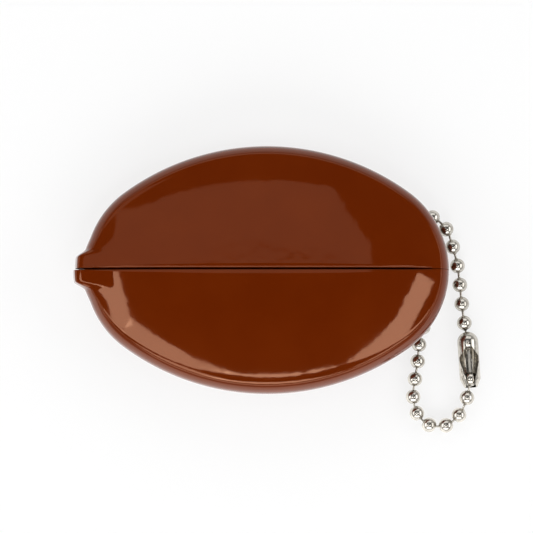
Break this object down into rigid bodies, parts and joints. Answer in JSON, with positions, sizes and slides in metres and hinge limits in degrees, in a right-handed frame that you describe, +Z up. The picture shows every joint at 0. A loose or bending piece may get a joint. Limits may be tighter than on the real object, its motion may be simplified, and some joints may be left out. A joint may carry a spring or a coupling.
{
  "type": "squeeze coin purse",
  "caption": "Oval moulded vinyl squeeze coin purse with a slit front whose halves open together, on a loop of ball chain closed by a snap connector.",
  "frame": {"origin": "middle of the flat rest face on the back", "axes": "+X along the slit towards the chain, +Y across the pouch towards the upper half, +Z up through the slit"},
  "size_m": [0.0868, 0.0607, 0.016],
  "materials": {
    "vinyl": "glossy moulded vinyl, plain, with no printing",
    "nickel": "bright nickel plate"
  },
  "bodies": {
    "back": {"back_shell": "vinyl", "chain_loop": "vinyl"},
    "upper_half": {"upper_half": "vinyl"},
    "lower_half": {"lower_half": "vinyl"},
    "bead_13": {"bead_13": "nickel"},
    "pin_12": {"pin_12": "nickel"},
    "bead_12": {"bead_12": "nickel"},
    "pin_11": {"pin_11": "nickel"},
    "bead_11": {"bead_11": "nickel"},
    "pin_10": {"pin_10": "nickel"},
    "bead_10": {"bead_10": "nickel"},
    "pin_09": {"pin_09": "nickel"},
    "bead_09": {"bead_09": "nickel"},
    "pin_08": {"pin_08": "nickel"},
    "bead_08": {"bead_08": "nickel"},
    "pin_07": {"pin_07": "nickel"},
    "bead_07": {"bead_07": "nickel"},
    "pin_06": {"pin_06": "nickel"},
    "bead_06": {"bead_06": "nickel"},
    "pin_05": {"pin_05": "nickel"},
    "bead_05": {"bead_05": "nickel"},
    "pin_04": {"pin_04": "nickel"},
    "bead_04": {"bead_04": "nickel"},
    "pin_03": {"pin_03": "nickel"},
    "bead_03": {"bead_03": "nickel"},
    "pin_02": {"pin_02": "nickel"},
    "bead_02": {"bead_02": "nickel"},
    "pin_01": {"pin_01": "nickel"},
    "bead_01": {"bead_01": "nickel"},
    "pin_13": {"pin_13": "nickel"},
    "bead_14": {"bead_14": "nickel"},
    "pin_14": {"pin_14": "nickel"},
    "bead_15": {"bead_15": "nickel"},
    "pin_15": {"pin_15": "nickel"},
    "bead_16": {"bead_16": "nickel"},
    "pin_16": {"pin_16": "nickel"},
    "bead_17": {"bead_17": "nickel"},
    "pin_17": {"pin_17": "nickel"},
    "bead_18": {"bead_18": "nickel"},
    "pin_18": {"pin_18": "nickel"},
    "bead_19": {"bead_19": "nickel"},
    "pin_19": {"pin_19": "nickel"},
    "bead_20": {"bead_20": "nickel"},
    "pin_20": {"pin_20": "nickel"},
    "bead_21": {"bead_21": "nickel"},
    "pin_21": {"pin_21": "nickel"},
    "bead_22": {"bead_22": "nickel"},
    "pin_22": {"pin_22": "nickel"},
    "bead_23": {"bead_23": "nickel"},
    "pin_23": {"pin_23": "nickel"},
    "bead_24": {"bead_24": "nickel"},
    "pin_24": {"pin_24": "nickel"},
    "bead_25": {"bead_25": "nickel"},
    "pin_25": {"pin_25": "nickel"},
    "bead_26": {"bead_26": "nickel"},
    "chain_connector": {"chain_connector": "nickel"}
  },
  "joints": [
    {"name": "upper_half_fold", "type": "hinge", "parent": "back", "child": "upper_half", "pos_m": [0, 0.01634, 0.0026], "axis": [-1, 0, 0], "range_deg": [0, 30], "stiffness_Nm_per_rad": 0.06},
    {"name": "lower_half_fold", "type": "hinge", "parent": "back", "child": "lower_half", "pos_m": [0, -0.01634, 0.0026], "axis": [1, 0, 0], "range_deg": [0, 30], "stiffness_Nm_per_rad": 0.06},
    {"name": "chain_swing", "type": "hinge", "parent": "back", "child": "bead_13", "pos_m": [0.0363, -0.0006, 0.00265], "axis": [0.342, -0.9397, 0], "range_deg": [0, 40]},
    {"name": "pin_12_turn", "type": "hinge", "parent": "bead_13", "child": "pin_12", "pos_m": [0.03597, 0.00032, 0.00265], "axis": [0, 0, 1], "range_deg": [-5.91, 5.91]},
    {"name": "bead_12_turn", "type": "hinge", "parent": "pin_12", "child": "bead_12", "pos_m": [0.03428, 0.00172, 0.00225], "axis": [0, 0, 1], "range_deg": [-5.91, 5.91]},
    {"name": "pin_11_turn", "type": "hinge", "parent": "bead_12", "child": "pin_11", "pos_m": [0.03292, 0.00308, 0.002], "axis": [0, 0, 1], "range_deg": [-11.03, 11.03]},
    {"name": "bead_11_turn", "type": "hinge", "parent": "pin_11", "child": "bead_11", "pos_m": [0.03106, 0.00426, 0.00167], "axis": [0, 0, 1], "range_deg": [-11.03, 11.03]},
    {"name": "pin_10_turn", "type": "hinge", "parent": "bead_11", "child": "pin_10", "pos_m": [0.03025, 0.00573, 0.00155], "axis": [0, 0, 1], "range_deg": [-4.55, 4.55]},
    {"name": "bead_10_turn", "type": "hinge", "parent": "pin_10", "child": "bead_10", "pos_m": [0.02983, 0.00789, 0.0016], "axis": [0, 0, 1], "range_deg": [-4.55, 4.55]},
    {"name": "pin_09_turn", "type": "hinge", "parent": "bead_10", "child": "pin_09", "pos_m": [0.03017, 0.00929, 0.0016], "axis": [0, 0, 1], "range_deg": [-6.14, 6.14]},
    {"name": "bead_09_turn", "type": "hinge", "parent": "pin_09", "child": "bead_09", "pos_m": [0.03149, 0.01105, 0.0016], "axis": [0, 0, 1], "range_deg": [-6.14, 6.14]},
    {"name": "pin_08_turn", "type": "hinge", "parent": "bead_09", "child": "pin_08", "pos_m": [0.03273, 0.01176, 0.0016], "axis": [0, 0, 1], "range_deg": [-6.07, 6.07]},
    {"name": "bead_08_turn", "type": "hinge", "parent": "pin_08", "child": "bead_08", "pos_m": [0.03491, 0.01201, 0.0016], "axis": [0, 0, 1], "range_deg": [-6.07, 6.07]},
    {"name": "pin_07_turn", "type": "hinge", "parent": "bead_08", "child": "pin_07", "pos_m": [0.03643, 0.01155, 0.0016], "axis": [0, 0, 1], "range_deg": [-7.87, 7.87]},
    {"name": "bead_07_turn", "type": "hinge", "parent": "pin_07", "child": "bead_07", "pos_m": [0.03801, 0.01001, 0.0016], "axis": [0, 0, 1], "range_deg": [-7.87, 7.87]},
    {"name": "pin_06_turn", "type": "hinge", "parent": "bead_07", "child": "pin_06", "pos_m": [0.03904, 0.00853, 0.0016], "axis": [0, 0, 1], "range_deg": [-10.69, 10.69]},
    {"name": "bead_06_turn", "type": "hinge", "parent": "pin_06", "child": "bead_06", "pos_m": [0.03963, 0.0064, 0.0016], "axis": [0, 0, 1], "range_deg": [-10.69, 10.69]},
    {"name": "chain_sway", "type": "hinge", "parent": "bead_06", "child": "pin_05", "pos_m": [0.0402, 0.00453, 0.0016], "axis": [0, 0, 1], "range_deg": [-6, 6]},
    {"name": "bead_05_turn", "type": "hinge", "parent": "pin_05", "child": "bead_05", "pos_m": [0.04072, 0.0024, 0.0016], "axis": [0, 0, 1], "range_deg": [-10.7, 10.7]},
    {"name": "pin_04_turn", "type": "hinge", "parent": "bead_05", "child": "pin_04", "pos_m": [0.04107, 0.00045, 0.0016], "axis": [0, 0, 1], "range_deg": [-10.73, 10.73]},
    {"name": "bead_04_turn", "type": "hinge", "parent": "pin_04", "child": "bead_04", "pos_m": [0.04129, -0.00174, 0.0016], "axis": [0, 0, 1], "range_deg": [-10.73, 10.73]},
    {"name": "pin_03_turn", "type": "hinge", "parent": "bead_04", "child": "pin_03", "pos_m": [0.0415, -0.00365, 0.0016], "axis": [0, 0, 1], "range_deg": [-10.73, 10.73]},
    {"name": "bead_03_turn", "type": "hinge", "parent": "pin_03", "child": "bead_03", "pos_m": [0.0417, -0.00585, 0.00156], "axis": [0, 0, 1], "range_deg": [-10.73, 10.73]},
    {"name": "pin_02_turn", "type": "hinge", "parent": "bead_03", "child": "pin_02", "pos_m": [0.04191, -0.00777, 0.00164], "axis": [0, 0, 1], "range_deg": [-10.73, 10.73]},
    {"name": "bead_02_turn", "type": "hinge", "parent": "pin_02", "child": "bead_02", "pos_m": [0.04216, -0.00994, 0.00185], "axis": [0, 0, 1], "range_deg": [-10.73, 10.73]},
    {"name": "pin_01_turn", "type": "hinge", "parent": "bead_02", "child": "pin_01", "pos_m": [0.04244, -0.01187, 0.002], "axis": [0, 0, 1], "range_deg": [-10.71, 10.71]},
    {"name": "bead_01_turn", "type": "hinge", "parent": "pin_01", "child": "bead_01", "pos_m": [0.04283, -0.01403, 0.00217], "axis": [0, 0, 1], "range_deg": [-10.71, 10.71]},
    {"name": "pin_13_turn", "type": "hinge", "parent": "bead_13", "child": "pin_13", "pos_m": [0.03662, -0.00151, 0.00265], "axis": [0, 0, 1], "range_deg": [-9.21, 9.21]},
    {"name": "bead_14_turn", "type": "hinge", "parent": "pin_13", "child": "bead_14", "pos_m": [0.03629, -0.00366, 0.00225], "axis": [0, 0, 1], "range_deg": [-9.21, 9.21]},
    {"name": "pin_14_turn", "type": "hinge", "parent": "bead_14", "child": "pin_14", "pos_m": [0.03594, -0.00541, 0.00201], "axis": [0, 0, 1], "range_deg": [-10.55, 10.55]},
    {"name": "bead_15_turn", "type": "hinge", "parent": "pin_14", "child": "bead_15", "pos_m": [0.03508, -0.00741, 0.00166], "axis": [0, 0, 1], "range_deg": [-10.55, 10.55]},
    {"name": "pin_15_turn", "type": "hinge", "parent": "bead_15", "child": "pin_15", "pos_m": [0.03452, -0.00897, 0.00154], "axis": [0, 0, 1], "range_deg": [-10.55, 10.55]},
    {"name": "bead_16_turn", "type": "hinge", "parent": "pin_15", "child": "bead_16", "pos_m": [0.03374, -0.01102, 0.0016], "axis": [0, 0, 1], "range_deg": [-10.55, 10.55]},
    {"name": "pin_16_turn", "type": "hinge", "parent": "bead_16", "child": "pin_16", "pos_m": [0.03327, -0.01257, 0.0016], "axis": [0, 0, 1], "range_deg": [-10.55, 10.55]},
    {"name": "bead_17_turn", "type": "hinge", "parent": "pin_16", "child": "bead_17", "pos_m": [0.03273, -0.0147, 0.0016], "axis": [0, 0, 1], "range_deg": [-10.55, 10.55]},
    {"name": "pin_17_turn", "type": "hinge", "parent": "bead_17", "child": "pin_17", "pos_m": [0.03249, -0.0162, 0.0016], "axis": [0, 0, 1], "range_deg": [-10.55, 10.55]},
    {"name": "bead_18_turn", "type": "hinge", "parent": "pin_17", "child": "bead_18", "pos_m": [0.03238, -0.0184, 0.0016], "axis": [0, 0, 1], "range_deg": [-10.55, 10.55]},
    {"name": "pin_18_turn", "type": "hinge", "parent": "bead_18", "child": "pin_18", "pos_m": [0.0322, -0.01992, 0.0016], "axis": [0, 0, 1], "range_deg": [-10.55, 10.55]},
    {"name": "bead_19_turn", "type": "hinge", "parent": "pin_18", "child": "bead_19", "pos_m": [0.03181, -0.02208, 0.0016], "axis": [0, 0, 1], "range_deg": [-10.55, 10.55]},
    {"name": "pin_19_turn", "type": "hinge", "parent": "bead_19", "child": "pin_19", "pos_m": [0.03159, -0.02371, 0.0016], "axis": [0, 0, 1], "range_deg": [-10.55, 10.55]},
    {"name": "bead_20_turn", "type": "hinge", "parent": "pin_19", "child": "bead_20", "pos_m": [0.03125, -0.02589, 0.0016], "axis": [0, 0, 1], "range_deg": [-10.55, 10.55]},
    {"name": "pin_20_turn", "type": "hinge", "parent": "bead_20", "child": "pin_20", "pos_m": [0.03134, -0.02741, 0.0016], "axis": [0, 0, 1], "range_deg": [-10.57, 10.57]},
    {"name": "bead_21_turn", "type": "hinge", "parent": "pin_20", "child": "bead_21", "pos_m": [0.03175, -0.02958, 0.0016], "axis": [0, 0, 1], "range_deg": [-10.57, 10.57]},
    {"name": "pin_21_turn", "type": "hinge", "parent": "bead_21", "child": "pin_21", "pos_m": [0.03247, -0.03085, 0.0016], "axis": [0, 0, 1], "range_deg": [-8.87, 8.87]},
    {"name": "bead_22_turn", "type": "hinge", "parent": "pin_21", "child": "bead_22", "pos_m": [0.03401, -0.03241, 0.0016], "axis": [0, 0, 1], "range_deg": [-8.87, 8.87]},
    {"name": "pin_22_turn", "type": "hinge", "parent": "bead_22", "child": "pin_22", "pos_m": [0.03539, -0.03299, 0.0016], "axis": [0, 0, 1], "range_deg": [-7.68, 7.68]},
    {"name": "bead_23_turn", "type": "hinge", "parent": "pin_22", "child": "bead_23", "pos_m": [0.03759, -0.03303, 0.0016], "axis": [0, 0, 1], "range_deg": [-7.68, 7.68]},
    {"name": "pin_23_turn", "type": "hinge", "parent": "bead_23", "child": "pin_23", "pos_m": [0.03898, -0.03258, 0.0016], "axis": [0, 0, 1], "range_deg": [-8.61, 8.61]},
    {"name": "bead_24_turn", "type": "hinge", "parent": "pin_23", "child": "bead_24", "pos_m": [0.04066, -0.03116, 0.00157], "axis": [0, 0, 1], "range_deg": [-8.61, 8.61]},
    {"name": "pin_24_turn", "type": "hinge", "parent": "bead_24", "child": "pin_24", "pos_m": [0.04169, -0.02985, 0.00164], "axis": [0, 0, 1], "range_deg": [-10.94, 10.94]},
    {"name": "bead_25_turn", "type": "hinge", "parent": "pin_24", "child": "bead_25", "pos_m": [0.04252, -0.02781, 0.00185], "axis": [0, 0, 1], "range_deg": [-10.94, 10.94]},
    {"name": "pin_25_turn", "type": "hinge", "parent": "bead_25", "child": "pin_25", "pos_m": [0.04308, -0.026, 0.002], "axis": [0, 0, 1], "range_deg": [-10.8, 10.8]},
    {"name": "bead_26_turn", "type": "hinge", "parent": "pin_25", "child": "bead_26", "pos_m": [0.04334, -0.02382, 0.00217], "axis": [0, 0, 1], "range_deg": [-10.8, 10.8]},
    {"name": "connector_turn", "type": "hinge", "parent": "bead_01", "child": "chain_connector", "pos_m": [0.043, -0.015, 0.00225], "axis": [0, 0, 1], "range_deg": [-3.39, 3.39]}
  ],
  "couplings": [
    {"joint": "lower_half_fold", "follows": "upper_half_fold", "ratio": 1},
    {"joint": "pin_12_turn", "follows": "chain_sway", "ratio": 0.53},
    {"joint": "bead_12_turn", "follows": "chain_sway", "ratio": -0.53},
    {"joint": "pin_11_turn", "follows": "chain_sway", "ratio": 1.0321},
    {"joint": "bead_11_turn", "follows": "chain_sway", "ratio": -1.0321},
    {"joint": "pin_10_turn", "follows": "chain_sway", "ratio": 0.3974},
    {"joint": "bead_10_turn", "follows": "chain_sway", "ratio": -0.3974},
    {"joint": "pin_09_turn", "follows": "chain_sway", "ratio": 0.5533},
    {"joint": "bead_09_turn", "follows": "chain_sway", "ratio": -0.5533},
    {"joint": "pin_08_turn", "follows": "chain_sway", "ratio": 0.5464},
    {"joint": "bead_08_turn", "follows": "chain_sway", "ratio": -0.5464},
    {"joint": "pin_07_turn", "follows": "chain_sway", "ratio": 0.7229},
    {"joint": "bead_07_turn", "follows": "chain_sway", "ratio": -0.7229},
    {"joint": "pin_06_turn", "follows": "chain_sway", "ratio": 0.9994},
    {"joint": "bead_06_turn", "follows": "chain_sway", "ratio": -0.9994},
    {"joint": "bead_05_turn", "follows": "chain_sway", "ratio": -1},
    {"joint": "pin_04_turn", "follows": "chain_sway", "ratio": 1.0031},
    {"joint": "bead_04_turn", "follows": "chain_sway", "ratio": -1.0031},
    {"joint": "pin_03_turn", "follows": "chain_sway", "ratio": 1.0034},
    {"joint": "bead_03_turn", "follows": "chain_sway", "ratio": -1.0034},
    {"joint": "pin_02_turn", "follows": "chain_sway", "ratio": 1.0026},
    {"joint": "bead_02_turn", "follows": "chain_sway", "ratio": -1.0026},
    {"joint": "pin_01_turn", "follows": "chain_sway", "ratio": 1.0012},
    {"joint": "bead_01_turn", "follows": "chain_sway", "ratio": -1.0012},
    {"joint": "pin_13_turn", "follows": "chain_sway", "ratio": 0.8541},
    {"joint": "bead_14_turn", "follows": "chain_sway", "ratio": -0.8541},
    {"joint": "pin_14_turn", "follows": "chain_sway", "ratio": 0.985},
    {"joint": "bead_15_turn", "follows": "chain_sway", "ratio": -0.985},
    {"joint": "pin_15_turn", "follows": "chain_sway", "ratio": 0.9849},
    {"joint": "bead_16_turn", "follows": "chain_sway", "ratio": -0.9849},
    {"joint": "pin_16_turn", "follows": "chain_sway", "ratio": 0.985},
    {"joint": "bead_17_turn", "follows": "chain_sway", "ratio": -0.985},
    {"joint": "pin_17_turn", "follows": "chain_sway", "ratio": 0.9855},
    {"joint": "bead_18_turn", "follows": "chain_sway", "ratio": -0.9855},
    {"joint": "pin_18_turn", "follows": "chain_sway", "ratio": 0.9851},
    {"joint": "bead_19_turn", "follows": "chain_sway", "ratio": -0.9851},
    {"joint": "pin_19_turn", "follows": "chain_sway", "ratio": 0.9852},
    {"joint": "bead_20_turn", "follows": "chain_sway", "ratio": -0.9852},
    {"joint": "pin_20_turn", "follows": "chain_sway", "ratio": 0.9869},
    {"joint": "bead_21_turn", "follows": "chain_sway", "ratio": -0.9869},
    {"joint": "pin_21_turn", "follows": "chain_sway", "ratio": 0.8202},
    {"joint": "bead_22_turn", "follows": "chain_sway", "ratio": -0.8202},
    {"joint": "pin_22_turn", "follows": "chain_sway", "ratio": 0.7035},
    {"joint": "bead_23_turn", "follows": "chain_sway", "ratio": -0.7035},
    {"joint": "pin_23_turn", "follows": "chain_sway", "ratio": 0.7954},
    {"joint": "bead_24_turn", "follows": "chain_sway", "ratio": -0.7954},
    {"joint": "pin_24_turn", "follows": "chain_sway", "ratio": 1.0238},
    {"joint": "bead_25_turn", "follows": "chain_sway", "ratio": -1.0238},
    {"joint": "pin_25_turn", "follows": "chain_sway", "ratio": 1.0097},
    {"joint": "bead_26_turn", "follows": "chain_sway", "ratio": -1.0097},
    {"joint": "connector_turn", "follows": "chain_sway", "ratio": 0.2835}
  ]
}
